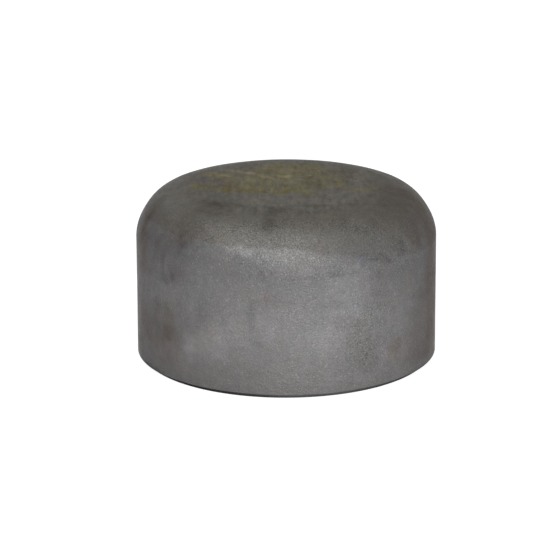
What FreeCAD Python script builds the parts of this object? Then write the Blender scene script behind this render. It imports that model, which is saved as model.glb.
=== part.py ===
"""Butt weld cap for a pipe 88.9 mm across: a flat-crowned dish on a straight skirt.

The cap is pressed from one piece of steel, so it is one revolved solid with a wall of even thickness.
It stands on its open end, which is bevelled for the weld. Z runs up its axis, and Z = 0 is the plane
of the root face that meets the pipe. Lengths are in millimetres.
"""

import FreeCAD, Part
import math
import os

# Driving dimensions
outside_diameter = 88.9
cap_length = 51.0
wall = 3.2
knuckle_radius = 14.0
crown_radius = 1000.0

# Weld end: the bevel rises from the root face at this angle to the plane of the open end
bevel_angle_deg = 37.5
root_face = 1.5

# The machined corners of the weld end are eased by this radius
edge_break = 0.3

# Sizes that follow from the driving dimensions
outside_radius = outside_diameter / 2
bore_radius = outside_radius - wall
bevel_depth = wall - root_face
bevel_height = bevel_depth * math.tan(math.radians(bevel_angle_deg))

# The knuckle is tangent to the skirt and to the crown, which fixes the centres of both arcs
crown_centre_z = cap_length - crown_radius
knuckle_centre_r = outside_radius - knuckle_radius
centre_distance = crown_radius - knuckle_radius
knuckle_centre_z = crown_centre_z + math.sqrt(centre_distance**2 - knuckle_centre_r**2)
crown_edge_angle = math.acos(knuckle_centre_r / centre_distance)


def point(radius, height):
    """A point of the half section, which lies in the XZ plane."""
    return FreeCAD.Vector(radius, 0, height)


def arc(centre_r, centre_z, radius, start_angle, end_angle):
    """An arc of the half section, with its angles measured up from the horizontal, in radians."""
    angles = (start_angle, (start_angle + end_angle) / 2, end_angle)
    start_middle_end = [
        point(centre_r + radius * math.cos(angle), centre_z + radius * math.sin(angle))
        for angle in angles
    ]
    return Part.Arc(*start_middle_end).toShape()


def dish(depth_in_wall):
    """The knuckle and crown arcs, from skirt to axis, at a depth measured in from the outside."""
    knuckle = arc(
        knuckle_centre_r,
        knuckle_centre_z,
        knuckle_radius - depth_in_wall,
        0,
        crown_edge_angle,
    )
    crown = arc(
        0,
        crown_centre_z,
        crown_radius - depth_in_wall,
        crown_edge_angle,
        math.pi / 2,
    )
    return [knuckle, crown]


def half_section():
    """The closed outline of the wall, on one side of the axis."""
    root_inner = point(bore_radius, 0)
    root_outer = point(bore_radius + root_face, 0)
    bevel_top = point(outside_radius, bevel_height)
    skirt_top = point(outside_radius, knuckle_centre_z)
    bore_top = point(bore_radius, knuckle_centre_z)
    crown_top = point(0, cap_length)
    crown_underside = point(0, cap_length - wall)

    straight_runs = [
        (root_inner, root_outer),
        (root_outer, bevel_top),
        (bevel_top, skirt_top),
        (crown_top, crown_underside),
        (bore_top, root_inner),
    ]
    lines = [Part.LineSegment(start, end).toShape() for start, end in straight_runs]
    outline = Part.sortEdges(lines + dish(0) + dish(wall))[0]
    return Part.Wire(outline)


def circles_at(solid, radius, height):
    """The round edges of the solid that have this radius and lie at this height."""
    tolerance = 1e-4
    found = []
    for edge in solid.Edges:
        if edge.Degenerated or not isinstance(edge.Curve, Part.Circle):
            continue
        same_radius = abs(edge.Curve.Radius - radius) < tolerance
        same_height = abs(edge.Curve.Center.z - height) < tolerance
        if same_radius and same_height:
            found.append(edge)
    return found


def ease_weld_end(solid):
    """Rounds the corner where the bevel meets the skirt, and the inner corner of the root face."""
    radius = min(edge_break, bevel_depth / 2, root_face / 2)
    corners = circles_at(solid, outside_radius, bevel_height) + circles_at(solid, bore_radius, 0)
    return solid.makeFillet(radius, corners).Solids[0]


def weld_cap():
    """The whole cap, turned from its half section."""
    wall_section = Part.Face(half_section())
    blank = wall_section.revolve(point(0, 0), FreeCAD.Vector(0, 0, 1), 360)
    return ease_weld_end(blank)


def main():
    """Builds the cap, writes it to its STEP file and prints what was built."""
    os.makedirs("parts", exist_ok=True)
    cap = weld_cap()
    cap.exportStep("parts/weld_cap.step")
    print("weld_cap", cap.ShapeType, "valid", cap.isValid(), "faces", len(cap.Faces))
    print("volume mm3", round(cap.Volume, 1), "area mm2", round(cap.Area, 1))
    print("height of the straight skirt mm", round(knuckle_centre_z, 3))


main()
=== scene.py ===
"""A shot-blasted steel butt weld cap on a pale studio floor: its shell, finish, light and camera.

Lengths are in metres, in the part's own frame: Z runs up the cap's axis from the open end, and the
camera looks along +Y. Azimuths are degrees round the axis, from the side that faces the camera,
growing towards the right of the picture. A distance along the outside starts at the crown's middle and
runs over the knuckle and down the skirt.
"""

import math

import bpy
import numpy as np
from mathutils import Matrix, Vector, noise


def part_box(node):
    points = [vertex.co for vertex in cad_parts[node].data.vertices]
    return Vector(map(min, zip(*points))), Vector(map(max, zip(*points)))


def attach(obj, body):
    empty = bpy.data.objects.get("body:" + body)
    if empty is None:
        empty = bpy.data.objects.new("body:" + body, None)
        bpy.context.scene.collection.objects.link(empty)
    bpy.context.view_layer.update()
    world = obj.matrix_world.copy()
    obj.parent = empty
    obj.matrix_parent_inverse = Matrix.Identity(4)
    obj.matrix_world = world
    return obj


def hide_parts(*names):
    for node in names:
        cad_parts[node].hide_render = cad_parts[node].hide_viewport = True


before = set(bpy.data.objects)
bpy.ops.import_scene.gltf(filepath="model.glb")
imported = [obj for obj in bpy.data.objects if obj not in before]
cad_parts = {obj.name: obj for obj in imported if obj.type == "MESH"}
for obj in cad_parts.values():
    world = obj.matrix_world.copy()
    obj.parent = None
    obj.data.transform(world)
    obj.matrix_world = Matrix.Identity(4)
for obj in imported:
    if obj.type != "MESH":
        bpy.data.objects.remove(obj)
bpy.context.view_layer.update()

MM = 0.001

# Without a seed, the noise that stirs the stains' outlines would differ from run to run
STAIN_SEED = 2
noise.seed_set(STAIN_SEED)

# The cap, as in the frame
low_corner, high_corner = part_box("weld_cap")
OUTSIDE_RADIUS = (high_corner.x - low_corner.x) / 2
LENGTH = high_corner.z
WALL = 3.2 * MM
KNUCKLE_RADIUS = 14 * MM
CROWN_RADIUS = 1000 * MM
ROOT_FACE = 1.5 * MM
BEVEL_ANGLE = math.radians(37.5)
EDGE_BREAK = 0.3 * MM
# The corner between the bevel and the root face is nearly sharp
ROOT_EDGE_BREAK = EDGE_BREAK / 4

# What follows from those sizes
BORE_RADIUS = OUTSIDE_RADIUS - WALL
BEVEL_HEIGHT = (WALL - ROOT_FACE) * math.tan(BEVEL_ANGLE)
KNUCKLE_CENTRE_R = OUTSIDE_RADIUS - KNUCKLE_RADIUS
CROWN_CENTRE_Z = LENGTH - CROWN_RADIUS
CENTRE_DISTANCE = CROWN_RADIUS - KNUCKLE_RADIUS
KNUCKLE_CENTRE_Z = CROWN_CENTRE_Z + math.sqrt(CENTRE_DISTANCE**2 - KNUCKLE_CENTRE_R**2)
CROWN_EDGE_ANGLE = math.acos(KNUCKLE_CENTRE_R / CENTRE_DISTANCE)

# Distances along the outside to the crown's edge and to the knuckle's lower end
CROWN_ALONG = CROWN_RADIUS * (math.pi / 2 - CROWN_EDGE_ANGLE)
KNUCKLE_ALONG = CROWN_ALONG + KNUCKLE_RADIUS * CROWN_EDGE_ANGLE

# The mesh: its segments round the axis, its rows of faces, and its kinds of surface
SEGMENTS = 384
OUTSIDE_ROWS = {"crown": 56, "knuckle": 46, "skirt": 62}
END_ROWS = {"upper_corner": 6, "bevel": 8, "outer_corner": 3, "root_face": 5, "inner_corner": 5}
INSIDE_ROWS = {"bore": 24, "knuckle": 18, "crown": 18}
OUTSIDE, WELD_END, INSIDE = 0, 1, 2

# The knuckle isn't quite round: mm along the outside, and how far it stands out there in mm
KNUCKLE_FORM = [(33.5, -0.11), (38, 0.18), (45, -0.16), (52, 0)]

# The pressed surface has low waves with ripples on them, as heights along the normal
WAVE_SIZE = 13 * MM
WAVE_HEIGHT = 0.05 * MM
RIPPLES_TO_A_WAVE = 2.3

# A few shallow dents: azimuth in degrees, then in mm the run along the outside, radius and depth
DENTS = [
    (-62, 39.5, 1.6, 0.10), (38, 66.0, 1.3, 0.06), (-118, 33.0, 1.8, 0.12), (152, 58.0, 2.2, 0.10),
    (-165, 74.0, 1.5, 0.08), (96, 41.0, 1.4, 0.09),
]

# The unevenness fades out downwards over FADE_HEIGHT and ends at this height
EVEN_BELOW = 4 * MM
FADE_HEIGHT = 6 * MM


def add_object(name, data):
    """A new object in the scene."""
    thing = bpy.data.objects.new(name, data)
    bpy.context.scene.collection.objects.link(thing)
    return thing


def smooth(share):
    """The share from 0 to 1, with soft ends."""
    return share * share * (3 - 2 * share)


def arc_points(centre, radius, start, end, steps):
    """Points on an arc of the half section, without its start."""
    angles = [start + (end - start) * i / steps for i in range(1, steps + 1)]
    return [(centre[0] + radius * math.cos(a), centre[1] + radius * math.sin(a)) for a in angles]


def line_points(start, end, steps):
    """Points on a straight run of the half section, without its start."""
    return [
        (start[0] + (end[0] - start[0]) * i / steps, start[1] + (end[1] - start[1]) * i / steps)
        for i in range(1, steps + 1)
    ]


def corner_points(before, corner, after, radius, steps):
    """The corner's eased arc: where it starts, and the points after that."""
    corner = Vector(corner)
    back = (Vector(before) - corner).normalized()
    ahead = (Vector(after) - corner).normalized()
    half = back.angle(ahead) / 2
    reach = radius / math.tan(half)
    centre = corner + (back + ahead).normalized() * radius / math.sin(half)
    first = corner + back * reach - centre
    last = corner + ahead * reach - centre
    turn = first.angle_signed(last)
    return [tuple(centre + Matrix.Rotation(-turn * i / steps, 2) @ first) for i in range(steps + 1)]


def half_section():
    """The wall's outline from the crown's top, round the weld end and back up the inside to the axis.

    Each point is (radius, height), and each comes with the kind of surface that leads to it.
    """
    knuckle = (KNUCKLE_CENTRE_R, KNUCKLE_CENTRE_Z)
    crown = (0, CROWN_CENTRE_Z)
    skirt_line = (OUTSIDE_RADIUS, LENGTH)
    bevel_top = (OUTSIDE_RADIUS, BEVEL_HEIGHT)
    root_outer = (BORE_RADIUS + ROOT_FACE, 0)
    root_inner = (BORE_RADIUS, 0)
    bore_top = (BORE_RADIUS, KNUCKLE_CENTRE_Z)
    top_angle, edge_angle = math.pi / 2, CROWN_EDGE_ANGLE

    upper = corner_points(skirt_line, bevel_top, root_outer, EDGE_BREAK, END_ROWS["upper_corner"])
    outer = corner_points(bevel_top, root_outer, root_inner, ROOT_EDGE_BREAK, END_ROWS["outer_corner"])
    inner = corner_points(root_outer, root_inner, bore_top, EDGE_BREAK, END_ROWS["inner_corner"])

    outside = arc_points(crown, CROWN_RADIUS, top_angle, edge_angle, OUTSIDE_ROWS["crown"])
    outside += arc_points(knuckle, KNUCKLE_RADIUS, edge_angle, 0, OUTSIDE_ROWS["knuckle"])
    outside += line_points(outside[-1], upper[0], OUTSIDE_ROWS["skirt"])
    end = upper[1:] + line_points(upper[-1], outer[0], END_ROWS["bevel"])
    end += outer[1:] + line_points(outer[-1], inner[0], END_ROWS["root_face"]) + inner[1:]
    inside = line_points(end[-1], bore_top, INSIDE_ROWS["bore"])
    inside += arc_points(knuckle, KNUCKLE_RADIUS - WALL, 0, edge_angle, INSIDE_ROWS["knuckle"])
    inside += arc_points(crown, CROWN_RADIUS - WALL, edge_angle, top_angle, INSIDE_ROWS["crown"])

    kinds = [OUTSIDE] * len(outside) + [WELD_END] * len(end) + [INSIDE] * len(inside)
    return outside + end + inside, kinds


def outside_at(along):
    """Radius, height and the normal's angle above the horizontal, at a distance along the outside."""
    if along < CROWN_ALONG:
        angle = math.pi / 2 - along / CROWN_RADIUS
        return CROWN_RADIUS * math.cos(angle), CROWN_CENTRE_Z + CROWN_RADIUS * math.sin(angle), angle
    if along < KNUCKLE_ALONG:
        angle = CROWN_EDGE_ANGLE - (along - CROWN_ALONG) / KNUCKLE_RADIUS
        radius = KNUCKLE_CENTRE_R + KNUCKLE_RADIUS * math.cos(angle)
        return radius, KNUCKLE_CENTRE_Z + KNUCKLE_RADIUS * math.sin(angle), angle
    return OUTSIDE_RADIUS, KNUCKLE_CENTRE_Z - (along - KNUCKLE_ALONG), 0.0


def on_outside(azimuth, along):
    """A point on the outside, and its directions to the right, upwards and outwards."""
    radius, height, angle = outside_at(along)
    a = math.radians(azimuth)
    radial = Vector((math.sin(a), -math.cos(a), 0))
    right = Vector((math.cos(a), math.sin(a), 0))
    outwards = radial * math.cos(angle) + Vector((0, 0, math.sin(angle)))
    return radial * radius + Vector((0, 0, height)), right, outwards.cross(right), outwards


def on_crown(x, y):
    """A point on the crown's outside, with the frame's own directions."""
    height = CROWN_CENTRE_Z + math.sqrt(CROWN_RADIUS**2 - x**2 - y**2)
    return Vector((x, y, height)), Vector((1, 0, 0)), Vector((0, 1, 0)), Vector((0, 0, 1))


def knuckle_form(along):
    """How far the pressed form stands out from a round knuckle, at a distance along the outside."""
    if along < KNUCKLE_FORM[0][0] * MM:
        return KNUCKLE_FORM[0][1] * MM
    for (start, low), (end, high) in zip(KNUCKLE_FORM, KNUCKLE_FORM[1:]):
        if along < end * MM:
            return (low + (high - low) * smooth((along / MM - start) / (end - start))) * MM
    return 0.0


def unevenness(point, dents):
    """How far waves and dents make the outside stand out at a point."""
    waves = noise.noise(point / WAVE_SIZE)
    ripples = noise.noise(point / WAVE_SIZE * RIPPLES_TO_A_WAVE)
    height = WAVE_HEIGHT * waves + WAVE_HEIGHT / 2 * ripples
    for middle, radius, depth in dents:
        distance = (point - middle).length / radius
        if distance < 1:
            height -= depth * (1 - distance**2) ** 2
    return height


def shell_vertices(section, kinds):
    """The rings of the shell from the crown's top round to its underside, and the two poles."""
    dents = [(on_outside(a, run * MM)[0], size * MM, depth * MM) for a, run, size, depth in DENTS]
    vertices = []
    along = 0.0
    for row, (radius, height) in enumerate(section[:-1]):
        before = section[row - 1] if row else (0, LENGTH)
        after = section[row + 1]
        along += math.dist(before, (radius, height))
        across = Vector((before[1] - after[1], after[0] - before[0])).normalized()
        share = min(max((height - EVEN_BELOW) / FADE_HEIGHT, 0), 1) if kinds[row] == OUTSIDE else 0
        for s in range(SEGMENTS):
            a = 2 * math.pi * s / SEGMENTS
            point = Vector((radius * math.sin(a), -radius * math.cos(a), height))
            if share:
                outwards = Vector((across.x * math.sin(a), -across.x * math.cos(a), across.y))
                point += outwards * (knuckle_form(along) + unevenness(point, dents)) * share
            vertices.append(tuple(point))
    return vertices + [(0, 0, LENGTH + knuckle_form(0)), (0, 0, section[-1][1])]


# The texture's charts: two strips across its whole width, and the two crowns side by side
STRIP_LEFT, STRIP_WIDTH = 0.004, 0.992
OUTER_STRIP = (0.012, 0.300)
INNER_STRIP = (0.312, 0.502)
CROWN_CHART_RADIUS = 0.236
OUTER_CROWN_MIDDLE = (0.25, 0.755)
INNER_CROWN_MIDDLE = (0.75, 0.755)


def strip_place(turn, share, strip):
    """A point of a strip, whose two ends meet at the back."""
    return (STRIP_LEFT + STRIP_WIDTH * turn, strip[0] + (strip[1] - strip[0]) * share)


def disc_place(middle, share, azimuth):
    """A point of a crown's chart, at this share of its radius."""
    radius = CROWN_CHART_RADIUS * share
    return (middle[0] + radius * math.sin(azimuth), middle[1] - radius * math.cos(azimuth))


def texture_places(section):
    """The texture places of every face's corners, in the order of the faces."""
    run = [0.0]
    for before, here in zip(section, section[1:]):
        run.append(run[-1] + math.dist(before, here))
    first_knuckle = OUTSIDE_ROWS["crown"] - 1
    last_end = len(section) - 1 - sum(INSIDE_ROWS.values())
    first_inner_crown = len(section) - 1 - INSIDE_ROWS["crown"]

    def corner(row, s, face_row, face_s):
        """The place of a ring's point, as a corner of the face that starts at this row and segment."""
        azimuth = 2 * math.pi * s / SEGMENTS
        turn = ((face_s + SEGMENTS // 2) % SEGMENTS + s - face_s) / SEGMENTS
        if face_row < first_knuckle:
            return disc_place(OUTER_CROWN_MIDDLE, section[row][0] / section[first_knuckle][0], azimuth)
        if face_row < last_end:
            share = (run[last_end] - run[row]) / (run[last_end] - run[first_knuckle])
            return strip_place(turn, share, OUTER_STRIP)
        if face_row < first_inner_crown:
            share = (run[row] - run[last_end]) / (run[first_inner_crown] - run[last_end])
            return strip_place(turn, share, INNER_STRIP)
        return disc_place(INNER_CROWN_MIDDLE, section[row][0] / section[first_inner_crown][0], -azimuth)

    places = []
    for s in range(SEGMENTS):
        places += [OUTER_CROWN_MIDDLE, corner(0, s, 0, s), corner(0, s + 1, 0, s)]
    last = len(section) - 2
    for row in range(last):
        for s in range(SEGMENTS):
            for down, over in ((0, 0), (1, 0), (1, 1), (0, 1)):
                places.append(corner(row + down, s + over, row, s))
    for s in range(SEGMENTS):
        places += [corner(last, s + 1, last, s), corner(last, s, last, s), INNER_CROWN_MIDDLE]
    return places


def make_shell():
    """The cap's shell as one closed mesh, with its kinds of surface as materials and a UV map."""
    section, kinds = half_section()
    vertices = shell_vertices(section, kinds)
    top, underside = len(vertices) - 2, len(vertices) - 1
    last_ring = (len(section) - 2) * SEGMENTS

    sides = [(s, (s + 1) % SEGMENTS) for s in range(SEGMENTS)]
    faces = [(top, s, t) for s, t in sides]
    for here in range(0, last_ring, SEGMENTS):
        below = here + SEGMENTS
        faces += [(here + s, below + s, below + t, here + t) for s, t in sides]
    faces += [(last_ring + t, last_ring + s, underside) for s, t in sides]
    face_kinds = np.repeat([OUTSIDE] + kinds[1:-1] + [INSIDE], SEGMENTS)

    mesh = bpy.data.meshes.new("cap_shell")
    mesh.from_pydata(vertices, [], faces)
    mesh.polygons.foreach_set("material_index", face_kinds)
    mesh.polygons.foreach_set("use_smooth", [True] * len(faces))
    uv_map = mesh.uv_layers.new(name="OFBake")
    uv_map.data.foreach_set("uv", np.array(texture_places(section)).ravel())
    mesh.update()
    return add_object("cap_shell", mesh)


# Stains, with painted light among them, as rows of an oval's middle, half width and half height in mm, and
# what it adds to the colour in its middle, in per cent of red, green and blue, or one number for all three.
# A firmer or tilted oval has its softness after that, and its tilt in degrees. On the side, a middle is an
# azimuth in degrees and mm along the outside. The rows of each kind go from left to right.
SIDE_STAINS_AND_PAINTED_LIGHT = [
    # light areas: stains, and painted highlight on the knuckle's front and painted light on the skirt about
    # azimuth 24
    (-80, 34, 14, 5, (14, 13, 9)), (-78, 30.5, 8, 3, (6, 5, 3)), (-65, 74, 4.5, 3.8, (6, 5, 5)),
    (-64, 75.5, 5, 3, (7, 7, 8)), (-62, 75.5, 5, 4, (8, 9, 10)), (-61, 78, 7, 6, (10, 11, 9)),
    (-57, 73.5, 3, 3.6, (5, 4, 4)), (-56, 78.5, 5.5, 3.8, (9, 8, 9)), (-52, 78.5, 6, 3.5, (10, 10, 9)),
    (-48, 47.3, 3, 2.2, (7, 8, 7)), (-45, 45, 1.8, 2.2, (9, 8, 8)), (-40, 77, 4.5, 3, 9),
    (-40, 79, 4, 4, (6, 7, 8)), (-38, 76, 5, 6, (14, 15, 17)), (-36, 79.5, 6.5, 3.2, (7, 7, 9)),
    (-32, 36, 5, 5.5, (8, 8, 7)), (-31, 23.5, 3.5, 3, 7), (-31, 41.5, 7, 3.5, (12, 10, 2)),
    (-28, 27.5, 6, 4, (6, 6, 5)), (-28, 73, 15, 8, (20, 18, 18), 1, 34), (-27, 77, 6, 3.5, (7, 7, 8)),
    (-25, 46.8, 5, 1.8, (10, 9, 8)), (-24, 28.5, 4, 4, (8, 8, 7)), (-24, 43.3, 9, 1, (8, 7, 4), 0.9, -2),
    (-22, 33, 9, 8, (12, 11, 9)), (-19.5, 43.3, 3.5, 1.6, 9), (-19, 43, 10, 5, 12, 1, -4),
    (-17, 45, 8, 2.4, (15, 15, 17), 1, -3), (-17, 45.6, 4, 3, 9), (-17, 47, 6, 2, (20, 20, 21)),
    (-17, 47, 4, 2.6, (9, 8, 8)), (-17, 75, 4, 4, (6, 6, 7)), (-16, 38, 5, 7, 5),
    (-16, 74, 4, 3, (6, 6, 7)), (-15, 47.3, 3.5, 2.5, (11, 11, 12)), (-9, 67, 8, 8, (9, 8, 10)),
    (-8, 69.5, 3, 3, (6, 5, 6)), (-8, 71, 2.5, 2.5, (11, 10, 12)), (-4, 41, 24, 7, (8, 9, 10)),
    (-4, 51.5, 5, 2.5, (9, 9, 8)), (0, 65, 4, 3, (6, 6, 7)), (6, 46.6, 6, 2.4, (8, 8, 9), 1, -6),
    (8, 53, 4, 2.5, (9, 8, 9)), (14, 34, 12, 6, (8, 6, 7)), (14, 74, 10, 9, (6, 6, 7)),
    (15, 35.5, 9, 3, (7, 6, 8)), (16, 52.8, 3.5, 2.6, (11, 10, 10)), (17, 54, 6, 3.5, (10, 10, 13)),
    (17, 69, 8, 10, (12, 12, 15)), (17, 79.5, 4, 4, (8, 9, 11)), (20, 64, 7, 4, (7, 7, 8)),
    (21, 83.5, 6, 2.6, (6, 6, 7)), (24, 51.5, 4, 3.2, 7), (24, 58, 10, 11, (28, 28, 31)), (24, 72, 6, 5, 7),
    (24.5, 53.5, 3.5, 3, (9, 10, 10)), (25, 76.5, 3.5, 3, 7), (27, 64, 4.5, 3.5, (8, 9, 11)),
    (27, 83.5, 6, 2.5, (10, 9, 10)), (28, 53.2, 5, 2.2, (12, 13, 15)), (29, 63.5, 5, 4, (7, 6, 8)),
    (31, 46.5, 4, 2.2, (8, 7, 9)), (32, 56, 3.5, 5, (10, 10, 12)), (33, 36.5, 4, 3.5, (8, 9, 9)),
    (33, 46.5, 3.5, 2.2, (6, 6, 7)), (33, 79, 4.5, 4, (7, 6, 8)), (33, 84, 8, 2, (7, 7, 10)),
    (33.5, 53, 3.2, 2.8, (12, 11, 13)), (35, 56, 5, 6, (7, 6, 7)), (35, 77, 3.5, 2.5, (9, 8, 10)),
    (39, 84, 4, 2.2, (8, 6, 7)), (42, 57, 4, 4, (5, 4, 5)), (46, 35.5, 5, 3, (10, 11, 10)),
    (48, 49.5, 3.8, 3, (14, 14, 13)), (54, 32.8, 7, 2.8, (7, 8, 7)), (72, 38, 5.5, 2.6, 6),
    # dark areas: stains, and painted shade towards both sides beyond azimuth 65 and just below the
    # knuckle's highlight
    (-104, 60, 44, 44, (-24, -25, -25), 0.75), (-82, 39, 8, 4, (-8, -11, -15)),
    (-79, 41, 9, 6, (-12, -15, -22)), (-78, 53, 14, 11, (-14, -20, -21)),
    (-77, 82.5, 8, 5, (-13, -15, -15)), (-76, 43, 7, 5, (-22, -27, -32)),
    (-76, 45.5, 7, 3.8, (-9, -11, -15)), (-75, 83, 8, 4.5, (-9, -10, -10)),
    (-73, 46.5, 5, 4, (-10, -14, -20)), (-73, 48, 4, 4, (-14, -20, -24)), (-72, 53, 7, 13, (-3, -6, -10)),
    (-70, 53, 3, 14, (-8, -14, -16)), (-70, 70, 3, 12, (-5, -10, -11)), (-65, 57.5, 5, 5, (-6, -9, -11)),
    (-64, 42.5, 5, 3.2, (-7, -8, -10)), (-61, 39.3, 9, 3.2, (-7, -9, -12)), (-60, 28, 9, 4, (-8, -8, -9)),
    (-60, 41.5, 8, 3, (-10, -12, -16)), (-60, 75, 19, 9, (-22, -27, -29), 0.9, 8),
    (-58.5, 72.5, 3.5, 3.5, (-8, -6, -7)), (-58, 69, 4.5, 4, (-8, -10, -10)),
    (-57, 46.5, 4, 2.8, (-11, -12, -14)), (-57, 68, 4, 3, (-10, -13, -12)),
    (-56, 26.5, 10, 4, (-10, -12, -12)), (-56, 41, 13, 4, (-5, -6, -10)), (-56, 50, 4, 3, (-8, -9, -9)),
    (-55, 56.5, 4.2, 3.2, (-6, -7, -7)), (-54, 24.5, 12, 4, -10), (-54, 25, 9, 5, (-10, -11, -12)),
    (-51, 67, 6, 3, (-10, -12, -12)), (-50, 47, 21, 7, (-20, -21, -20)), (-49, 53.5, 5, 3.6, (-8, -9, -8)),
    (-49, 54, 4.5, 7, (-12, -13, -12), 1, 15), (-49, 57, 8, 6, (-11, -12, -11)),
    (-48, 30, 5, 5, (-9, -8, -10)), (-48, 32, 16, 9, (-10, -11, -14)), (-48, 33, 5, 4, (-8, -9, -8)),
    (-48, 38, 8, 6, (-18, -20, -25)), (-48, 41.3, 4.2, 2.8, (-11, -12, -13)),
    (-48, 44, 7, 6, (-14, -19, -22)), (-47, 27, 9, 7, (-24, -26, -28)), (-47, 50, 5, 2.6, (-7, -7, -6)),
    (-45, 54.5, 6, 5, (-8, -9, -7)), (-44, 31, 5.5, 4.4, (-7, -6, -7)),
    (-43.5, 50.5, 3.2, 4.2, (-10, -10, -9)), (-43, 31, 5, 4, (-12, -12, -13)),
    (-43, 42.5, 5, 3, (-8, -9, -10)), (-43, 54.5, 5, 4, (-5, -5, -4)),
    (-43, 68, 7, 11, (-14, -15, -14), 1, 25), (-42, 39.5, 4, 3, (-9, -9, -11)),
    (-41, 45, 3, 2.5, (-14, -18, -22)), (-41, 47.2, 2.6, 3.6, (-14, -15, -15)),
    (-40, 22.5, 4, 3.2, (-7, -8, -8)), (-40, 47, 3.8, 2.8, -11), (-40, 55.5, 3.8, 3, (-7, -7, -6)),
    (-40, 59, 4.5, 3, -6), (-39, 40.5, 3.8, 3, (-8, -9, -11)), (-39, 73, 4.4, 4.4, -7), (-36, 71, 5, 4, -7),
    (-33, 61.3, 5, 3, -9), (-33, 65, 4.5, 8, (-12, -13, -12)), (-33, 66.5, 4.5, 4.5, -8),
    (-30, 54, 12, 5, (-5, -5, -4)), (-27, 88, 19, 4.5, -8), (-25.5, 65.3, 4.5, 3.5, (-7, -6, -6)),
    (-16.5, 67.5, 3, 3, -7), (-15.5, 24, 4.2, 4.4, -8), (-14.5, 48.6, 3.6, 2.2, (-12, -13, -14)),
    (-14, 22, 7, 5, (-9, -9, -8)), (-13, 27.5, 5, 6, -9), (-12, 22, 7, 5, -10),
    (-12, 24.5, 5, 4, (-7, -8, -8)), (-8, 27, 4.5, 6, -9), (-8, 28, 5, 10, (-14, -15, -18)),
    (-6.5, 40.8, 4.5, 2.4, (-9, -9, -8)), (-6, 39.3, 4.5, 2.2, (-11, -11, -9)),
    (-5, 26, 5, 3, (-6, -6, -7)), (-4, 23, 8, 5, (-10, -10, -11)), (-2, 59, 6, 3, (-6, -7, -7)),
    (0, 50.5, 18, 3, -10), (2, 25, 20, 6, -6), (16, 25, 5, 4, -6), (19, 27, 6, 5, (-8, -9, -8)),
    (21, 50.4, 6.5, 1.8, -11), (24, 39, 14, 5, (-9, -8, -5)), (25, 74, 5, 4, (-7, -8, -9)),
    (26, 29.5, 4, 4.4, -7), (28, 58.5, 2.6, 3.4, (-9, -10, -11)), (28.5, 49.5, 2.4, 2.6, (-11, -10, -7)),
    (29.5, 48.6, 2.5, 1.6, (-12, -12, -10)), (29.5, 49.2, 3.4, 1.6, (-5, -4, -1)),
    (31.5, 36.8, 4, 3.2, (-8, -8, -6)), (32, 83, 3.2, 2.2, -7), (33, 22.5, 6, 3.2, -8),
    (33, 78, 7, 6, (-14, -13, -14)), (34, 41, 12, 4, (-6, -5, -4)), (34, 46, 17, 6, (-16, -16, -13)),
    (39, 50.2, 5.5, 1.8, (-14, -15, -15), 1, -6), (40, 38, 5, 2.8, (-8, -7, -7)), (40, 40, 5.5, 3, -7),
    (41, 50.3, 5.5, 2.2, (-10, -12, -12)), (42, 27, 9, 6, (-6, -7, -7)),
    (47.5, 77, 3.4, 2.6, (-9, -10, -11)), (47.5, 79, 3, 4, (-14, -16, -18)), (48, 77, 3, 3, (-9, -10, -12)),
    (48.5, 42.5, 4.2, 3.2, (-8, -7, -6)), (48.5, 45, 3, 5, (-8, -9, -7)), (49, 47, 3.5, 2.5, (-9, -10, -7)),
    (50, 26, 9, 4, (-9, -10, -10)), (50, 39, 22, 11, (-18, -20, -21)), (52, 27.5, 9, 4, -7),
    (55, 47, 3.2, 4, (-6, -9, -12)), (55, 69.8, 5, 3.6, (-11, -10, -12)), (56, 43, 4, 4, -8),
    (56, 47.3, 3, 2, (-8, -10, -10)), (56, 71, 4, 3, (-9, -8, -10)), (56, 76, 6, 6, (-10, -14, -16)),
    (56, 79.5, 4.5, 3.5, (-8, -9, -10)), (56, 83, 9, 4, (-7, -8, -8)), (56.5, 40.5, 4.5, 3, -8),
    (58, 82, 6, 4, (-6, -8, -9)), (60, 45, 10, 4, (-10, -13, -12)), (60, 63.5, 6, 4, (-9, -12, -14)),
    (61, 67, 6, 7, (-9, -11, -13)), (62, 47.5, 6, 2.5, (-14, -20, -20)), (62, 74, 10, 12, (-8, -9, -10)),
    (62, 83, 14, 5, (-14, -16, -16)), (64, 83.5, 5, 3.5, (-10, -12, -12)), (68, 43, 14, 7, (-18, -22, -21)),
    (69, 67, 9, 4.5, (-8, -9, -9)), (71, 33, 14, 13, (-26, -32, -34)), (73, 54.5, 5.5, 4.2, (-6, -8, -10)),
    (74, 47, 4, 3, (-10, -12, -11)), (74, 78, 16, 14, (-14, -17, -20)), (74, 82, 9, 5.5, (-16, -19, -20)),
    (75, 73, 5, 15, (-8, -10, -11)), (77, 60, 9, 26, (-5, -6, -7), 0.8), (80, 62, 14, 30, (3, -2, -3), 0.6),
    (82, 38, 6, 8, (-15, -17, -22)), (82, 41.5, 4, 4, (-9, -8, -10)), (82, 43, 5, 4, (-8, -6, -8)),
    (84, 66, 24, 34, (-32, -39, -42)), (85, 35.5, 8, 7, (-14, -18, -20)), (108, 60, 44, 44, -20, 0.75),
    # small tinted spots
    (-70, 75, 8, 12, (3, -1.5, -2)), (-58, 74, 5, 4, (-4, 0, -4)), (-53, 82, 9, 5, (4, -2, -1)),
    (-7, 58, 4, 4, (1, -6, -8)), (28.5, 50.3, 3.5, 1.5, (-6, -3, 4), 1, -5),
    (44.5, 78.5, 3.6, 5, (2, -6, -12)), (50.5, 67.5, 4, 4, (-5, -2, 1)), (52, 59.5, 3.5, 7, (4, -2, -4)),
]
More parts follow.
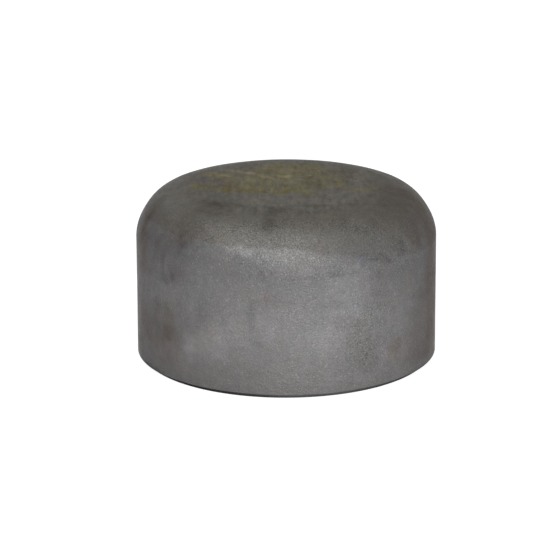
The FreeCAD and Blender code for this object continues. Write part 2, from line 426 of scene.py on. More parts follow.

# Marks on the side, with firmer edges than its stains, and painted shade along the skirt's lowest edge
MARKS_AND_PAINTED_RIM_SHADE = [
    # the drip and its foot
    (-13, 64.5, 2, 8, (-20, -20, -19), 0.9), (-10, 72.5, 2.6, 1.2, -10, 0.9, -25),
    # thin lines below the film's edge
    (12, 50.2, 3, 1.2, (-12, -12, -10), 0.9), (34.5, 49.2, 3.4, 0.9, -28, 0.9, -4),
    (36.5, 54, 1, 3.8, (-16, -17, -16), 0.9), (43.5, 51, 6.5, 1.1, (-15, -17, -16), 0.9, -6),
    # the hook on the left, and what lies about it
    (-54.5, 48, 2.4, 4.5, (8, 10, 9), 0.9), (-53.4, 52.3, 2.1, 6.4, (-17, -18, -15), 0.9, -10),
    (-51.6, 58.2, 4.4, 2.2, (-23, -24, -21), 0.9, 8), (-51.2, 53, 1.8, 3.2, 6, 0.9),
    (-49.5, 46.5, 2.5, 3.2, (6, 7, 7), 0.9), (-48, 56.3, 1.7, 3.2, (-15, -16, -13), 0.9),
    (-46.5, 45.5, 1.6, 3.2, (-8, -12, -13), 0.9), (-45.2, 44.8, 1.7, 4.4, (-16, -20, -22), 0.9, 33),
    # the brown strip
    (-50.5, 70, 3.4, 8, (-8.5, -11, -16.5), 0.5), (-50.5, 75.6, 1.3, 1.2, (-10, -12, -15), 0.9),
    (-49, 77, 5, 7.5, (-8, -10, -11), 0.3),
    # upright bands on the right
    (39, 78.5, 2.4, 5, (12, 10, 15), 0.9), (62, 56, 3.4, 7, (5, 7, 7), 0.6),
    (79, 62, 10.5, 26, (-6, -11, -13), 0.35),
    # on the dome
    (-75.5, 44, 2.4, 2.4, (-30, -30, -32), 0.9), (-10, 30, 2.6, 6, (-14, -14, -15), 0.9),
    (-8, 36, 2.6, 5.5, (-26, -27, -28), 0.8), (33, 35.6, 1.4, 0.5, 25, 0.9),
    # painted shade along the skirt's lowest edge, darkest on the left
    (-64, 87.6, 13, 1.7, -54, 0.9), (60, 87.4, 12, 1.5, (-16, -16, -15), 0.9),
]

# Stains on the crown, where a middle is x and y in mm. Along the crown's front, the light band about y -13
# is painted sheen, and the dark ones about y -20 are partly stain and partly painted shade
CROWN_STAINS_AND_PAINTED_LIGHT = [
    (-31, 1.5, 4, 5, (10, 9, 12)), (-28.5, 8.5, 5, 8, (8, 7, 6)), (-27, 10, 9, 8, (7, 6, 3)),
    (-25, -30, 3, 3, (-9, -10, -12)), (-25, 12, 4.5, 5.5, (6, 5, 5)), (-24, -16, 6, 5, (-8, -10, -10)),
    (-24, 13, 5, 6, 5), (-23, -30.5, 4.4, 3.8, (10, 9, 9)), (-22, 9, 10, 7, (-10, -15, -10)),
    (-22, 14.5, 4, 4, (6, 6, 5)), (-20.5, -20.5, 4, 4, (-7, -7, -8)), (-20.5, 15, 3.5, 4, (11, 10, 6)),
    (-20, 1, 4, 6, (-6, -7, -7)), (-19.5, -21.5, 4, 6, (-14, -14, -15)),
    (-19.3, -17.4, 5.5, 3.6, (-31, -30, -31), 0.9), (-19, 18, 6, 5, (9, 8, 6)), (-18, 3, 2.4, 3, (2, 0, 8)),
    (-17.8, 2, 5, 6.5, (-1, -10, -15), 0.8), (-15.5, -2, 3.4, 19, (-8, -9, -9)),
    (-15.5, 0, 3, 6, (-8, -10, -11)), (-15.5, 4, 4, 6, (-6, -8, -12)), (-14, -3, 6, 5, (-8, -10, -15)),
    (-12, 16, 2.4, 4.5, (2, -2, 10)), (-11, -20, 7, 3.5, -12, 0.8), (-10.5, 4, 2.2, 3.5, (-4, -5, 8)),
    (-9.2, 15.5, 2.6, 5, (10, 7, 8)), (-9, 15, 2.6, 5.5, (8, 6, 6)), (-5, -22.5, 4, 4, (-9, -8, -8)),
    (-4.5, -21.5, 3.5, 4.5, -9), (-4.5, 5, 3.2, 4.5, (6, 6, 8)), (-4.3, 3.5, 2.6, 6, (11, 11, 16)),
    (-4, 5, 3.5, 4, (7, 7, 10)), (-3, -23, 5, 4, (-20, -20, -22), 0.8), (-3, 8, 8, 8, (7, 7, 4)),
    (-1, 4, 2.2, 3.5, (2, 0, 10)), (0, -13, 26, 4, (6, 5, 7)), (0, 7, 2.4, 6, (6, 6, 8)), (5, -13, 4, 3, 5),
    (5.5, -12.5, 3, 4, 8), (7, -9, 3.2, 9, (7, 7, 6)), (8, -19.5, 11, 3, (-12, -12, -13)),
    (9.5, -8, 2.6, 5, (7, 6, 3)), (13.5, 5, 2.5, 4.5, (-5, -4, 6)), (14.5, -30, 3, 4, (5, 6, 7)),
    (14.5, 15, 4, 8, (-8, -9, -12)), (16, 21, 5.5, 6, (-7, -8, -10)), (16.5, 18.5, 6, 5, (-12, -18, -18)),
    (17.5, 13, 6, 12, (-11, -12, -13)), (18.5, 17, 5, 9, (-7, -7, -8)), (19.5, -31, 4.2, 3.4, -6),
    (20, -16, 5, 5, (-9, -10, -10)), (20, 16.5, 4, 5, (-11, -12, -16)), (20.5, -30, 3, 3, (12, 13, 14)),
    (21, 4, 7, 6, (-4, -1, 6)), (21.5, 2, 3.2, 9, (-8, -8, -7)), (21.5, 15.5, 3.5, 6, (-5, -7, -10)),
    (24, -31.5, 3, 3, (-8, -7, -7)), (28, -15, 4.5, 5.5, (-7, -6, -5)), (31, 1, 6, 11, (-16, -25, -26)),
    (35.5, 0, 3, 6, (-17, -20, -20)),
]

# Scratches and specks on the crown, and the share of the yellow that they have taken off
BARE_MARKS = [
    (-18.5, 14.3, 6, 2, (52, 45, 22), 0.9, -41), (-15, 18.6, 9, 2.1, (42, 39, 36), 0.9, -32),
    (-11, 16.2, 3.8, 2.4, (44, 40, 38), 0.9, -38), (-6, 11.6, 6.5, 2.1, (54, 46, 20), 0.9, -44),
    (0, 12, 2.8, 2, (68, 66, 24), 0.8), (4.2, 8.2, 1, 1.6, (40, 36, 40), 0.8),
    (7, 12.7, 1, 1.6, (90, 82, 80), 0.8),
]
BARE_SHARE = 0.55

# More specks on the crown, and a dark line at its front that is partly stain and partly painted shade
CROWN_SPECKS_AND_PAINTED_SHADE = [
    (-1.5, -18.2, 0.9, 1.4, (40, 38, 38), 0.8), (7, -19.2, 15, 1.8, -14),
    (10.2, 18.7, 0.9, 1.5, (52, 44, 28), 0.8), (26, -1, 0.9, 1.4, (35, 30, 10), 0.8),
]

# Painted light and painted shade along the weld end's bevel, in rows as the side's stains
END_PAINTED_LIGHT_AND_SHADE = [
    (-63, 88, 10, 10, -38), (-50, 88, 30, 14, (-37, -37, -36), 0.8), (-1, 88, 9, 12, (18, 18, 20)),
    (14, 88, 24, 14, (120, 120, 125)), (40, 88, 10, 10, (20, 20, 22)), (66, 88, 14, 14, -40, 0.9),
]

# Where the crown's heat stain is yellow: x, y, half width and half height in mm, and how yellow
HEAT_STAINS = [
    (-27.5, 1.2, 3, 5, 0.9), (-24, 17, 3, 3, 0.85), (-23.8, 1, 4, 4, 0.75), (-20, 15, 7, 4, 0.85),
    (-18, -2.2, 5.2, 3.9, 1), (-16.8, 9, 2.8, 6, 0.85), (-13.5, -5, 2.4, 4, 0.9), (-11, -0.6, 4.5, 5.4, 1),
    (-9.5, -4.2, 3.6, 3.6, 0.95), (-5.5, 19, 6, 9, 0.9), (-4, 9, 6, 5, 0.75), (-2.5, 25, 3, 4, 1),
    (-1.5, -5.4, 3, 3, 0.75), (-1, 10, 26, 18, 0.72), (0, -3.6, 7.5, 3.9, 1), (1, 18, 3, 5.5, 1),
    (1.5, 24.5, 2.8, 4, 1), (2.6, -4.4, 3.2, 2.8, 0.75), (5.6, -5.2, 2.8, 3.6, 0.85), (6, 4, 3.5, 8, 0.65),
    (6, 21, 8, 7, 0.9), (14.2, 8, 4.5, 10, 0.65), (17.5, 3.5, 2.4, 7, 0.85), (22.8, -1, 6.5, 2.7, 0.75),
]
HEAT_SOFTNESS = 0.55

# Where the crown is heated at all, in the same form with its softness
HEATED = [(0, 8, 31, 22, 1, 0.4)]

# Where the side is speckled, with how much in the place of a colour
SPECKLED = [
    (-35, 42, 4, 2.2, 0.8, 0.8), (28, 69, 10, 9, 0.62), (28, 75.5, 12, 9.5, 0.86, 1, -20),
    (36, 64, 8, 8, 0.5),
]

# How lively the grain is, partly the steel's own grain and partly painted sparkle where the light falls on
# the knuckle
# and the skirt: a share everywhere, and what each area of the side adds to it
SPARKLE_AND_GRAIN_SHARE = 0.13
SPARKLE_AND_GRAIN_AREAS = [
    (-48, 80, 24, 16, -0.16, 0.9), (-38, 37, 9, 5, 0.5), (-37, 76, 9, 8, -0.07, 0.9),
    (-16, 38, 28, 9, 0.46), (-8, 34, 8, 3.5, -0.14), (-2, 26.5, 38, 6, 0.36),
    (-2, 46, 33, 9, 0.46, 0.9, -3), (-1, 74, 16, 14, -0.09, 0.9), (4, 34, 40, 4.4, 0.75),
    (15, 50, 8, 6, 0.16), (18, 37, 28, 9, 0.32), (31, 69, 17, 26, 0.34, 0.9), (34, 22, 12, 8, 0.3),
    (34, 47.5, 9, 6, 0.26), (50, 50, 19, 13, 0.5),
]

# The noises that stir the outlines of stains and of marks, as (size, reach). Each has a finer one on it
FINER_STIR = 2.2
STAIN_STIRS = [(7 * MM, 2.6 * MM), (1.6 * MM, 0.9 * MM)]
MARK_STIRS = [(1.6 * MM, 0.6 * MM)]
# The least depth of a patch in mm
PATCH_DEPTH = 6


def stirred(points, stirs):
    """The points' places, each moved up to about the reach by a noise with features of that size."""
    places = np.array([tuple(p) for p in points])
    for size, reach in stirs:
        broad = np.array([tuple(noise.noise_vector(p / size)) for p in points])
        finer = np.array([tuple(noise.noise_vector(p / size * FINER_STIR)) for p in points])
        places = places + reach * (broad + finer / 2)
    return places


def patch(places, spot, half_width, half_height, softness, tilt):
    """For each place 1 in the middle of an oval patch and 0 beyond it. Its half sizes are in mm.

    The spot is a middle with its right, up and outward directions. The softness is the share of the radius
    that the patch fades over, and a positive tilt in degrees lifts its right end.
    """
    middle, right, up, outwards = spot
    t = math.radians(tilt)
    long_way = right * math.cos(t) + up * math.sin(t)
    short_way = up * math.cos(t) - right * math.sin(t)
    depth = max(half_width, half_height, PATCH_DEPTH)
    axes = [long_way / half_width, short_way / half_height, outwards / depth]
    reach = np.linalg.norm((places - np.array(middle)) @ np.array(axes).T, axis=1) / MM
    return smooth(np.clip((1 - reach) / softness, 0, 1))


def side_patch(places, azimuth, along, half_width, half_height, softness=1.0, tilt=0):
    """An oval patch whose middle is at an azimuth and so many mm along the outside."""
    return patch(places, on_outside(azimuth, along * MM), half_width, half_height, softness, tilt)


def crown_patch(places, x, y, half_width, half_height, softness=1.0, tilt=0):
    """An oval patch on the crown, whose middle is at x and y in mm."""
    return patch(places, on_crown(x * MM, y * MM), half_width, half_height, softness, tilt)


def patches(places, patch_at, rows):
    """Each row's patch at the places, with the row's fifth value."""
    for x, y, half_width, half_height, value, *rest in rows:
        yield patch_at(places, x, y, half_width, half_height, *rest), value


def tinted(places, patch_at, rows):
    """All the rows' tints together, at each place."""
    tints = np.ones((len(places), 3))
    for share, added in patches(places, patch_at, rows):
        tints *= 1 + share[:, None] * np.array(added) / 100
    return tints


def strongest(places, patch_at, rows):
    """The highest share that a row gives, at each place."""
    return np.max([share * strength for share, strength in patches(places, patch_at, rows)], axis=0)


def store(mesh, name, values):
    """Keeps a number, or three, for every vertex, where a material reads them by this name."""
    kind, field = ("FLOAT_VECTOR", "vector") if values.ndim == 2 else ("FLOAT", "value")
    mesh.attributes.new(name, kind, "POINT").data.foreach_set(field, values.astype(np.float32).ravel())


def paint_stains_and_light(mesh):
    """Works out the cap's stains, and the painted light and shade among them, at its vertices."""
    points = [Vector(v.co) for v in mesh.vertices]
    places = stirred(points, [])
    wavering = stirred(points, MARK_STIRS)
    ragged = stirred(points, STAIN_STIRS)

    # Stains, with painted highlights and painted shade among them
    stains_and_painted_light = tinted(ragged, side_patch, SIDE_STAINS_AND_PAINTED_LIGHT) * tinted(wavering, side_patch, MARKS_AND_PAINTED_RIM_SHADE)
    stains_and_painted_light *= tinted(ragged, crown_patch, CROWN_STAINS_AND_PAINTED_LIGHT)
    stains_and_painted_light *= tinted(wavering, crown_patch, BARE_MARKS + CROWN_SPECKS_AND_PAINTED_SHADE)
    store(mesh, "stains_and_painted_light", stains_and_painted_light)
    store(mesh, "end_painted_light_and_shade", tinted(places, side_patch, END_PAINTED_LIGHT_AND_SHADE))

    yellow = strongest(ragged, crown_patch, [(*row, HEAT_SOFTNESS) for row in HEAT_STAINS])
    bare = np.max([share for share, _ in patches(wavering, crown_patch, BARE_MARKS)], axis=0)
    store(mesh, "yellow", yellow * (1 - BARE_SHARE * bare))
    store(mesh, "heated", strongest(ragged, crown_patch, HEATED))
    store(mesh, "speckled", strongest(ragged, side_patch, SPECKLED))
    sparkle_and_grain = sum(share * added for share, added in patches(places, side_patch, SPARKLE_AND_GRAIN_AREAS))
    store(mesh, "sparkle_and_grain", SPARKLE_AND_GRAIN_SHARE + sparkle_and_grain)


class Look:
    """A material's nodes, added a step at a time. Sizes are in metres."""

    def __init__(self, name):
        self.material = bpy.data.materials.new(name)
        self.material.use_nodes = True
        self.tree = self.material.node_tree
        self.shader = self.tree.nodes["Principled BSDF"]
        self.place = self.node("ShaderNodeTexCoord").outputs["Object"]

    def node(self, kind, **settings):
        node = self.tree.nodes.new(kind)
        for name, value in settings.items():
            setattr(node, name, value)
        return node

    def feed(self, socket, value):
        """Links an output to the socket, or sets the socket's own value."""
        if isinstance(value, bpy.types.NodeSocket):
            self.tree.links.new(value, socket)
        else:
            socket.default_value = value

    def shade(self, name, value):
        """Feeds one of the shader's own sockets."""
        self.feed(self.shader.inputs[name], value)

    def gloss(self, level, grey):
        """The clear gloss over the colour: its strength, and how grey it is."""
        self.shade("Specular IOR Level", level)
        self.shade("Specular Tint", (grey, grey, grey, 1))

    def fed(self, kind, operation, values):
        """A node for this operation, with the values at its first sockets."""
        node = self.node(kind, operation=operation)
        for socket, value in zip(node.inputs, values):
            self.feed(socket, value)
        return node

    def calc(self, operation, *values):
        return self.fed("ShaderNodeMath", operation, values).outputs[0]

    def vector(self, operation, *values):
        node = self.fed("ShaderNodeVectorMath", operation, values)
        return node.outputs["Value" if operation == "LENGTH" else "Vector"]

    def fit(self, value, low, high, to_low=0.0, to_high=1.0):
        """The value carried smoothly from one range to another, and held at its ends."""
        node = self.node("ShaderNodeMapRange", interpolation_type="SMOOTHSTEP")
        for socket, given in zip(node.inputs, (value, low, high, to_low, to_high)):
            self.feed(socket, given)
        return node.outputs["Result"]

    def noise(self, size, detail=2.0, place=None, output="Fac"):
        """Noise with features of this size, with values about 0.5."""
        node = self.node("ShaderNodeTexNoise")
        self.feed(node.inputs["Vector"], place or self.place)
        node.inputs["Scale"].default_value = 1 / size
        node.inputs["Detail"].default_value = detail
        return node.outputs[output]

    def sway(self, value, reach):
        """A number about 0 that goes up to this far to both sides, from noise about 0.5."""
        return self.calc("MULTIPLY_ADD", value, 2 * reach, -reach)

    def swing(self, colour, value, amount):
        """The colour made up to this share lighter and darker, by noise about 0.5."""
        node = self.fed("ShaderNodeVectorMath", "SCALE", [colour])
        self.feed(node.inputs["Scale"], self.calc("MULTIPLY_ADD", self.sway(value, 1.0), amount, 1.0))
        return node.outputs["Vector"]

    def blend(self, share, first, second):
        """A number that runs from the first to the second as the share goes from 0 to 1."""
        node = self.node("ShaderNodeMix", data_type="FLOAT")
        self.feed(node.inputs[0], share)
        self.feed(node.inputs[2], first)
        self.feed(node.inputs[3], second)
        return node.outputs[0]

    def tint(self, colour, share, tint):
        """The colour multiplied by the tint, as far as the share goes."""
        node = self.node("ShaderNodeMix", data_type="RGBA", blend_type="MULTIPLY")
        self.feed(node.inputs[0], share)
        self.feed(node.inputs[6], colour)
        node.inputs[7].default_value = (*tint, 1)
        return node.outputs[2]

    def ramp(self, value, stops):
        """A smooth run of colours, from stops of (value, colour)."""
        node = self.node("ShaderNodeValToRGB")
        node.color_ramp.interpolation = "B_SPLINE"
        stop_list = node.color_ramp.elements
        while len(stop_list) < len(stops):
            stop_list.new(0.5)
        for element, (at, colour) in zip(stop_list, stops):
            element.position = at
            element.color = (*colour, 1)
        self.feed(node.inputs[0], value)
        return node.outputs["Color"]

    def attribute(self, name, output="Fac"):
        """What the mesh keeps at its vertices under this name."""
        return self.node("ShaderNodeAttribute", attribute_name=name).outputs[output]

    def aside(self, place, distance):
        """The place moved far along X, for a noise that doesn't follow another one's."""
        return self.vector("ADD", place, (distance, 0, 0))

    def from_axis(self):
        """The place's X, its distance from the cap's axis, and its height."""
        parts = self.node("ShaderNodeSeparateXYZ")
        self.feed(parts.inputs[0], self.place)
        radius = self.vector("LENGTH", self.vector("MULTIPLY", self.place, (1, 1, 0)))
        return parts.outputs["X"], radius, parts.outputs["Z"]

    def along(self, radius, height):
        """The distance along the outside from the crown's middle, near enough."""
        over = self.calc("SUBTRACT", height, KNUCKLE_CENTRE_Z)
        out = self.calc("SUBTRACT", radius, KNUCKLE_CENTRE_R)
        quarter = math.pi / 2
        angle = self.calc("MAXIMUM", self.calc("MINIMUM", self.calc("ARCTAN2", over, out), quarter), 0)
        on_crown_part = self.calc("MINIMUM", radius, KNUCKLE_CENTRE_R)
        on_knuckle_part = self.calc("MULTIPLY_ADD", angle, -KNUCKLE_RADIUS, quarter * KNUCKLE_RADIUS)
        on_skirt_part = self.calc("MAXIMUM", self.calc("MULTIPLY", over, -1), 0)
        return self.calc("ADD", self.calc("ADD", on_crown_part, on_knuckle_part), on_skirt_part)

    def bump(self, height, depth):
        """Sets the shader's normal from a height that runs from 0 to about 1, and its depth in metres."""
        node = self.node("ShaderNodeBump")
        node.inputs["Strength"].default_value = 1.0
        node.inputs["Distance"].default_value = depth
        self.feed(node.inputs["Height"], height)
        self.shade("Normal", node.outputs["Normal"])


# The blasted steel's tone: mm along the outside, and the colour there. Beside the steel's own tone it holds
# painted light:
# a painted highlight about 43 mm, painted shade below it about 51 mm, and the skirt lighter at mid height
# and darker towards the bottom as painted light and shade
TONE = [
    (0, 0.166, 0.156, 0.136), (20, 0.166, 0.157, 0.137), (28, 0.153, 0.144, 0.124),
    (33, 0.163, 0.155, 0.138), (38, 0.190, 0.185, 0.172), (43, 0.208, 0.204, 0.198),
    (47, 0.192, 0.189, 0.189), (51, 0.180, 0.177, 0.178), (55, 0.205, 0.202, 0.203),
    (60, 0.220, 0.216, 0.217), (66, 0.238, 0.234, 0.235), (71, 0.236, 0.231, 0.232),
    (76, 0.223, 0.217, 0.218), (81, 0.213, 0.207, 0.207), (89, 0.177, 0.171, 0.170),
]
TONE_END = 90 * MM
# The tones' borders drift about, and lie lower by this many metres for each metre to the right
TONE_DRIFT = 2 * MM
TONE_LEAN = 0.10

# The dome's warm film ends here along the outside, and lower to the right of FILM_BEND
FILM_END = 43.9 * MM
FILM_BEND = 2 * MM
FILM_LEAN = 0.20
FILM_WANDER = 1.5 * MM
FILM_TINT = (0.90, 0.893, 0.875)

# The place's scale for noise on the crown, which draws it out from front to back
CROWN_GRAIN = (1, 0.27, 1)
HEAT_YELLOW = (1.12, 1.06, 0.48)
HEAT_PURPLE = (0.88, 0.82, 0.82)

# Cloudy tone: its size, and its strength on the side and on the crown, where it is finer
CLOUDS = [(9 * MM, 0.12, 0.38), (2.2 * MM, 0.135, 0.48)]
CROWN_CLOUD_SHARE = 0.6

# Broad drifts of hue: the size, where in the noise each is taken from, and the tint
HUES = [
    (6 * MM, (0, 0.2, 0), (1.018, 0.997, 0.988)),
    (4 * MM, (0.2, 0, 0), (0.991, 1.006, 0.995)),
]

# Points in the grain: their size and detail, how far aside their noise is taken, the values of it
# between which they grow, and the tint. The specks and pits are the steel's own; the glints are painted
# glints
SPECKS = (0.65 * MM, 3.0, 0.7, 0.51, 0.62, (0.62, 0.60, 0.56))
PAINTED_GLINTS = (0.45 * MM, 0.0, 0.5, 0.62, 0.80, (1.30, 1.30, 1.32))
PITS = (0.55 * MM, 1.0, 0.3, 0.62, 0.80, (0.76, 0.75, 0.74))

# The crisp grain, with its strength where the grain is calm and where it is lively, which is mostly where
# painted sparkle lies in the light on the knuckle
CRISP_SIZE = 0.36 * MM
CRISP_ASIDE = 0.4
CRISP_STRENGTH = (0.12, 1.10)
FINE_STRENGTH = 0.16

# The machined end's steel, kept dark as painted shade, and its oxide, and the inside's steel and rust
END_STEEL_IN_PAINTED_SHADE = (0.085, 0.083, 0.086)
OXIDE = (0.88, 0.80, 0.76)
INSIDE_STEEL = (0.175, 0.162, 0.148)
RUST = (1.05, 0.74, 0.52)


def blast_grain(look):
    """The pits of the blasting: a fine height about 0.5, and a coarser one."""
    return look.noise(0.52 * MM, 3.0), look.noise(1.4 * MM, 2.0)


def dome_film(look, along, x):
    """1 where the dome's warm film lies, with a wavering lower edge."""
    bend = look.calc("MAXIMUM", look.calc("SUBTRACT", x, FILM_BEND), 0)
    film_place = look.calc("MULTIPLY_ADD", bend, -FILM_LEAN, along)
    film_place = look.calc("ADD", film_place, look.sway(look.noise(5 * MM, 4.0), FILM_WANDER))
    return look.fit(film_place, FILM_END - 0.4 * MM, FILM_END + 0.5 * MM, 1.0, 0.0)


def crown_heat(look, colour, drawn_out):
    """The crown's yellow-olive heat stain and its dull purple areas, in mottles that run to the front."""
    mottle = look.fit(look.noise(1.3 * MM, 3.0, drawn_out), 0.36, 0.58, 0.38, 1.0)
    colour = look.tint(colour, look.calc("MULTIPLY", look.attribute("yellow"), mottle), HEAT_YELLOW)
    dull = look.fit(look.noise(1.7 * MM, 3.0, look.aside(drawn_out, 0.1)), 0.50, 0.64)
    return look.tint(colour, look.calc("MULTIPLY", look.attribute("heated"), dull), HEAT_PURPLE)


def uneven_tone(look, colour, drawn_out, on_top):
    """Cloudy tone and hue over the whole, stronger and drawn out on the crown."""
    for size, amount, crown_amount in CLOUDS:
        side_cloud = look.noise(size, 3.0)
        crown_cloud = look.noise(size * CROWN_CLOUD_SHARE, 2.0, drawn_out)
        cloud = look.blend(on_top, side_cloud, crown_cloud)
        colour = look.swing(colour, cloud, look.blend(on_top, amount, crown_amount))
    for size, aside, tint in HUES:
        hue = look.fit(look.noise(size, 2.0, look.vector("ADD", look.place, aside)), 0.35, 0.65)
        colour = look.tint(colour, hue, tint)
    return colour


def pointed(look, colour, share, points):
    """The colour with one kind of points in it, as far as the share goes."""
    size, detail, aside, start, full, tint = points
    found = look.fit(look.noise(size, detail, look.aside(look.place, aside)), start, full)
    return look.tint(colour, look.calc("MULTIPLY", found, share), tint)


def grained(look, colour, drawn_out, on_top, fine):
    """The blasted grain's light and dark points, with painted glints and painted sparkle that are strongest
    where the light falls on the front of the knuckle.
    """
    colour = pointed(look, colour, look.attribute("speckled"), SPECKS)
    crisp = look.noise(CRISP_SIZE, 1.0, look.aside(look.place, CRISP_ASIDE))
    crisp_top = look.noise(CRISP_SIZE, 1.0, look.aside(drawn_out, CRISP_ASIDE))
    crisp = look.blend(look.calc("MULTIPLY", on_top, 0.6), crisp, crisp_top)
    sparkle_and_grain = look.attribute("sparkle_and_grain")
    colour = look.swing(colour, crisp, look.blend(sparkle_and_grain, *CRISP_STRENGTH))
    colour = look.swing(colour, fine, FINE_STRENGTH)
    awake = look.fit(sparkle_and_grain, 0.0, 0.12, 0.4, 1.0)
    # Painted glints, strongest where the sparkle is painted in the light
    colour = pointed(look, colour, awake, PAINTED_GLINTS)
    return pointed(look, colour, awake, PITS)


def blasted_steel():
    """Shot-blasted carbon steel: fine even grain with painted glints, heat stains on the crown, handling
    stains, and painted highlights and painted shade.
    """
    look = Look("blasted_steel")
    x, radius, height = look.from_axis()
    along = look.along(radius, height)
    leaning = look.calc("MULTIPLY_ADD", x, -TONE_LEAN, along)
    drifting = look.calc("ADD", leaning, look.sway(look.noise(11 * MM, 2.0), TONE_DRIFT))
    tone_place = look.calc("DIVIDE", drifting, TONE_END)
    # The tone, with its painted highlight and painted shade along the outside
    colour = look.ramp(tone_place, [(at * MM / TONE_END, tone) for at, *tone in TONE])
    # The stains, with the painted highlights and painted shade among them
    colour = look.vector("MULTIPLY", colour, look.attribute("stains_and_painted_light", "Vector"))

    film = dome_film(look, along, x)
    colour = look.tint(colour, film, FILM_TINT)
    on_top = look.fit(along, 26 * MM, 38 * MM, 1.0, 0.0)
    drawn_out = look.vector("MULTIPLY", look.place, CROWN_GRAIN)
    colour = crown_heat(look, colour, drawn_out)
    colour = uneven_tone(look, colour, drawn_out, on_top)
    fine, coarse = blast_grain(look)
    look.shade("Base Color", grained(look, colour, drawn_out, on_top, fine))

    rough = look.fit(look.noise(3 * MM, 3.0), 0.3, 0.7, 0.34, 0.44)
    look.shade("Roughness", look.calc("MULTIPLY_ADD", film, 0.05, rough))
    look.shade("Metallic", look.blend(film, 0.24, 0.11))
    look.gloss(0.02, 0.4)
    look.bump(look.calc("MULTIPLY_ADD", coarse, 0.48, fine), 0.14 * MM)
    return look.material


def machined_end():
    """The bevel and root face: turned steel with fine rings, dulled by a thin oxide, and darkened by
    painted shade with painted light along its front.
    """
    look = Look("machined_end")
    _, radius, height = look.from_axis()
    ring_place = look.node("ShaderNodeCombineXYZ")
    look.feed(ring_place.inputs["X"], radius)
    look.feed(ring_place.inputs["Y"], height)
    rings = look.noise(0.16 * MM, 2.0, ring_place.outputs[0])
    bloom = look.fit(look.noise(5 * MM, 3.0), 0.45, 0.70)
    colour = look.swing(END_STEEL_IN_PAINTED_SHADE, rings, 0.30)
    colour = look.tint(colour, bloom, OXIDE)
    # Painted light and painted shade along the end
    look.shade("Base Color", look.vector("MULTIPLY", colour, look.attribute("end_painted_light_and_shade", "Vector")))
    look.shade("Roughness", look.fit(rings, 0.3, 0.7, 0.36, 0.50))
    look.shade("Metallic", 0.1)
    look.gloss(0.0, 0.5)
    look.bump(rings, 0.02 * MM)
    return look.material


def inside_steel():
    """The inside: the same blasted steel, duller, with a thin bloom of rust."""
    look = Look("inside_steel")
    shift = look.vector("SUBTRACT", look.noise(4 * MM, 2.0, output="Color"), (0.5, 0.5, 0.5))
    ragged = look.vector("MULTIPLY_ADD", shift, (4 * MM,) * 3, look.place)
    colour = look.swing(INSIDE_STEEL, look.noise(12 * MM, 3.0), 0.25)
    rust = look.fit(look.noise(8 * MM, 4.0, ragged), 0.52, 0.72)
    colour = look.tint(colour, rust, RUST)
    fine, coarse = blast_grain(look)
    look.shade("Base Color", look.swing(colour, fine, 0.25))
    look.shade("Roughness", look.fit(rust, 0, 1, 0.58, 0.75))
    look.shade("Metallic", 0.2)
    look.gloss(0.1, 0.5)
    look.bump(look.calc("MULTIPLY_ADD", coarse, 0.8, fine), 0.05 * MM)
    return look.material


# The studio: the floor's half side and paint, what of it the camera and reflections see, and how
# strongly the world lights the cap
FLOOR_HALF = 3.0
FLOOR_PAINT = (0.4, 0.4, 0.4, 1)
FLOOR_SEEN = 0.94
WORLD_SEEN = 1.0
WORLD_FILL = 0.10

# The soft boxes: azimuth and elevation in degrees, width and height in metres, level, and whether the
# cap mirrors them
LAMP_DISTANCE = 1.3
LAMPS = {
    "key": (-8, 34, 0.5, 0.3, 0.265, True),
    "low_right": (20, 6, 0.6, 0.6, 0.333, True),
    "low_middle": (5, 6, 0.6, 0.6, 0.235, True),
    "top": (0, 72, 0.6, 0.6, 0.176, True),
    "back_left": (-160, 6, 0.6, 0.6, 0.2, False),
    "back_right": (160, 6, 0.6, 0.6, 0.2, False),
}


def seen_directly(tree, seen, otherwise):
    """A strength for what the camera, a reflection or a see-through surface shows, and one for the rest."""
    path = tree.nodes.new("ShaderNodeLightPath")
    direct = path.outputs["Is Camera Ray"]
    for ray in ("Is Glossy Ray", "Is Transmission Ray"):
        either = tree.nodes.new("ShaderNodeMath")
        either.operation = "MAXIMUM"
        tree.links.new(direct, either.inputs[0])
        tree.links.new(path.outputs[ray], either.inputs[1])
        direct = either.outputs[0]
    strength = tree.nodes.new("ShaderNodeMapRange")
    strength.inputs["To Min"].default_value = otherwise
    strength.inputs["To Max"].default_value = seen
    tree.links.new(direct, strength.inputs["Value"])
    return strength.outputs[0]


def make_floor():
    """A pale floor that looks white to the camera and in reflections, and keeps the cap's shadow."""
    mesh = bpy.data.meshes.new("floor")
    corners = [(x * FLOOR_HALF, y * FLOOR_HALF, 0) for x, y in ((-1, -1), (1, -1), (1, 1), (-1, 1))]
    mesh.from_pydata(corners, [], [(0, 1, 2, 3)])
    floor = add_object("floor", mesh)
    material = bpy.data.materials.new("pale_floor")
    material.use_nodes = True
    tree = material.node_tree
    tree.nodes.clear()
    output = tree.nodes.new("ShaderNodeOutputMaterial")
    add = tree.nodes.new("ShaderNodeAddShader")
    paint = tree.nodes.new("ShaderNodeBsdfDiffuse")
    paint.inputs["Color"].default_value = FLOOR_PAINT
    glow = tree.nodes.new("ShaderNodeEmission")
    tree.links.new(seen_directly(tree, FLOOR_SEEN, 0), glow.inputs["Strength"])
    tree.links.new(paint.outputs[0], add.inputs[0])
    tree.links.new(glow.outputs[0], add.inputs[1])
    tree.links.new(add.outputs[0], output.inputs["Surface"])
    mesh.materials.append(material)


def make_world():
    """A world that looks white and lights the cap only a little."""
    world = bpy.data.worlds.new("studio")
    bpy.context.scene.world = world
    world.use_nodes = True
    tree = world.node_tree
    background = tree.nodes["Background"]
    background.inputs["Color"].default_value = (1, 1, 1, 1)
    tree.links.new(seen_directly(tree, WORLD_SEEN, WORLD_FILL), background.inputs["Strength"])


def away_from_cap(azimuth, elevation):
    """The direction from the cap's middle to a lamp or the camera."""
    a, e = math.radians(azimuth), math.radians(elevation)
    return Vector((math.sin(a) * math.cos(e), -math.cos(a) * math.cos(e), math.sin(e)))


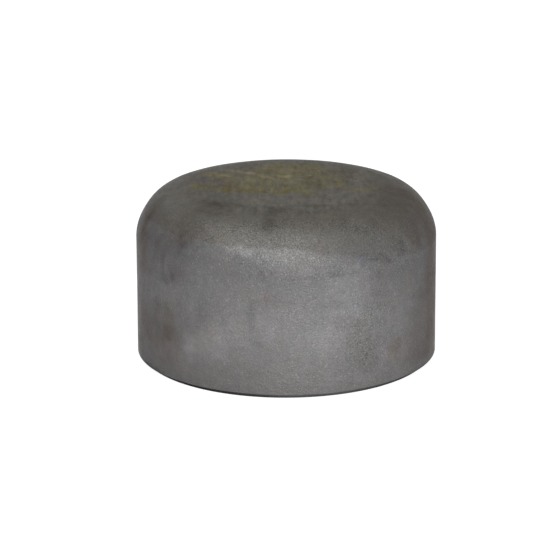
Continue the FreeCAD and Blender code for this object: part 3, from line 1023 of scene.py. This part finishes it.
def add_lamp(name, azimuth, elevation, width, height, level, mirrored):
    """A soft box aimed at the cap's middle. A white surface that faces it shows it at this level.

    One that isn't mirrored lights surfaces and leaves no gloss on them.
    """
    lamp = bpy.data.lights.new(name, "AREA")
    lamp.shape = "RECTANGLE"
    lamp.size = width
    lamp.size_y = height
    lamp.energy = level * math.pi**2 * LAMP_DISTANCE**2
    thing = add_object(name, lamp)
    thing.visible_glossy = mirrored
    away = away_from_cap(azimuth, elevation)
    thing.location = Vector((0, 0, LENGTH / 2)) + away * LAMP_DISTANCE
    thing.rotation_euler = away.to_track_quat("Z", "Y").to_euler()


# The camera, from the cap's outline in the picture, which is 550 pixels wide and high. Its distance is
# in outside radii, and RADIUS_PX is such a radius in the picture
FRAME_PX = 550
RADIUS_PX = 149.3605
AXIS_PX = (286.293, 269.122)
CAMERA_ELEVATION = 17.284
CAMERA_RADII = 22.9245
CAMERA_ROLL = -0.0029
SENSOR_WIDTH = 36


def add_camera():
    """The camera, which sees the cap's middle at AXIS_PX by a small shift."""
    camera = bpy.data.cameras.new("camera")
    camera.sensor_width = SENSOR_WIDTH
    camera.lens = SENSOR_WIDTH * RADIUS_PX * CAMERA_RADII / FRAME_PX
    camera.shift_x = (FRAME_PX / 2 - AXIS_PX[0]) / FRAME_PX
    camera.shift_y = (AXIS_PX[1] - FRAME_PX / 2) / FRAME_PX
    camera.clip_end = 20
    thing = add_object("camera", camera)
    away = away_from_cap(0, CAMERA_ELEVATION)
    thing.location = Vector((0, 0, LENGTH / 2)) + away * CAMERA_RADII * OUTSIDE_RADIUS
    look = away.to_track_quat("Z", "Y").to_matrix() @ Matrix.Rotation(CAMERA_ROLL, 3, "Z")
    thing.rotation_euler = look.to_euler()
    bpy.context.scene.camera = thing


shell = make_shell()
paint_stains_and_light(shell.data)
for material in (blasted_steel(), machined_end(), inside_steel()):
    shell.data.materials.append(material)
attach(shell, "root")
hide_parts("weld_cap")

make_floor()
make_world()
for name, settings in LAMPS.items():
    add_lamp(name, *settings)
add_camera()

bpy.context.scene.view_settings.view_transform = "Standard"
